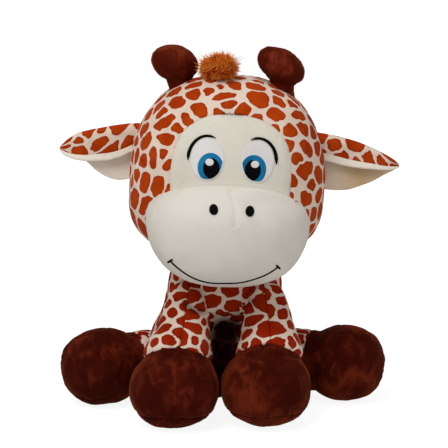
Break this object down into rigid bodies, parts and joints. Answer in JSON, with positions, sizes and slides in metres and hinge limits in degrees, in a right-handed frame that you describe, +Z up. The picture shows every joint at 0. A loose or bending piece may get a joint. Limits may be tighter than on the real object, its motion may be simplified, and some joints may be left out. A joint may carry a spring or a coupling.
{
  "type": "plush toy giraffe",
  "caption": "Seated plush giraffe with a large nodding head, folded ears, knobbed horns, a spotted coat, stuffed legs with round hooves, and a short tufted tail.",
  "frame": {"origin": "middle of the seat's flat face, on the floor that the toy sits on", "axes": "+Z up along the toy's height, -Y the way its body and front legs face, +X its own left"},
  "size_m": [0.3742, 0.283, 0.3964],
  "materials": {
    "spotted_cloth": "short pile, printed with rust-brown spots on cream",
    "cream_cloth": "short pile, cream",
    "brown_cloth": "short pile, dark brown",
    "long_pile": "long loose pile, orange brown",
    "filling": "polyester fibre",
    "white_thread": "satin stitch",
    "blue_thread": "satin stitch",
    "black_thread": "satin stitch"
  },
  "bodies": {
    "torso": {"body_skin": "spotted_cloth", "seat_panel": "spotted_cloth", "body_stuffing": "filling"},
    "head": {"head_skin": "spotted_cloth", "face_panel": "cream_cloth", "muzzle_skin": "cream_cloth", "head_stuffing": "filling", "head_tuft": "long_pile", "eye_white_right": "white_thread", "iris_right": "blue_thread", "pupil_right": "black_thread", "eye_glint_right": "white_thread", "nostril_right": "black_thread", "brow_right": "black_thread", "eye_white_left": "white_thread", "iris_left": "blue_thread", "pupil_left": "black_thread", "eye_glint_left": "white_thread", "nostril_left": "black_thread", "brow_left": "black_thread", "smile_stitch": "black_thread"},
    "ear_left": {"ear_back_left": "spotted_cloth", "ear_lining_left": "cream_cloth"},
    "ear_right": {"ear_back_right": "spotted_cloth", "ear_lining_right": "cream_cloth"},
    "horn_left": {"horn_left": "brown_cloth", "horn_cap_left": "brown_cloth"},
    "horn_right": {"horn_right": "brown_cloth", "horn_cap_right": "brown_cloth"},
    "front_limb_left": {"front_leg_left": "spotted_cloth", "front_hoof_left": "brown_cloth", "front_sole_left": "brown_cloth"},
    "front_limb_right": {"front_leg_right": "spotted_cloth", "front_hoof_right": "brown_cloth", "front_sole_right": "brown_cloth"},
    "hind_limb_left": {"hind_leg_left": "spotted_cloth", "hind_hoof_left": "brown_cloth", "hind_sole_left": "brown_cloth"},
    "hind_limb_right": {"hind_leg_right": "spotted_cloth", "hind_hoof_right": "brown_cloth", "hind_sole_right": "brown_cloth"},
    "tail": {"tail_skin": "spotted_cloth", "tail_tuft": "long_pile"}
  },
  "joints": [
    {"name": "head_nod", "type": "hinge", "parent": "torso", "child": "head", "pos_m": [0, 0, 0.125], "axis": [1, 0, 0], "range_deg": [-8, 10], "stiffness_Nm_per_rad": 4},
    {"name": "ear_swing_left", "type": "hinge", "parent": "head", "child": "ear_left", "pos_m": [0.11043, 0.00249, 0.26792], "axis": [-0.1156, -0.0073, 0.9933], "range_deg": [-20, 20], "stiffness_Nm_per_rad": 0.06},
    {"name": "ear_swing_right", "type": "hinge", "parent": "head", "child": "ear_right", "pos_m": [-0.09471, -0.00648, 0.27867], "axis": [0.2188, 0.0073, 0.9757], "range_deg": [-20, 20], "stiffness_Nm_per_rad": 0.06},
    {"name": "horn_tilt_left", "type": "hinge", "parent": "head", "child": "horn_left", "pos_m": [0.06713, -0.01159, 0.34427], "axis": [-0.0436, 0.999, 0.0023], "range_deg": [-3, 10], "stiffness_Nm_per_rad": 0.06},
    {"name": "horn_tilt_right", "type": "hinge", "parent": "head", "child": "horn_right", "pos_m": [-0.04262, -0.01639, 0.35002], "axis": [-0.0436, 0.999, 0.0023], "range_deg": [-8, 8], "stiffness_Nm_per_rad": 0.06},
    {"name": "front_lift_left", "type": "hinge", "parent": "torso", "child": "front_limb_left", "pos_m": [0.0375, -0.046, 0.118], "axis": [-0.9819, -0.1892, 0], "range_deg": [0, 25], "stiffness_Nm_per_rad": 0.4},
    {"name": "front_lift_right", "type": "hinge", "parent": "torso", "child": "front_limb_right", "pos_m": [-0.0375, -0.046, 0.118], "axis": [-0.9848, 0.174, 0], "range_deg": [0, 25], "stiffness_Nm_per_rad": 0.4},
    {"name": "hind_lift_left", "type": "hinge", "parent": "torso", "child": "hind_limb_left", "pos_m": [0.058, 0.014, 0.042], "axis": [-0.2652, -0.9642, 0], "range_deg": [0, 16], "stiffness_Nm_per_rad": 0.4},
    {"name": "hind_lift_right", "type": "hinge", "parent": "torso", "child": "hind_limb_right", "pos_m": [-0.058, 0.014, 0.042], "axis": [-0.4568, 0.8896, 0], "range_deg": [0, 16], "stiffness_Nm_per_rad": 0.4},
    {"name": "tail_lift", "type": "hinge", "parent": "torso", "child": "tail", "pos_m": [0, 0.0815, 0.055], "axis": [1, 0, 0], "range_deg": [0, 40], "stiffness_Nm_per_rad": 0.02}
  ]
}
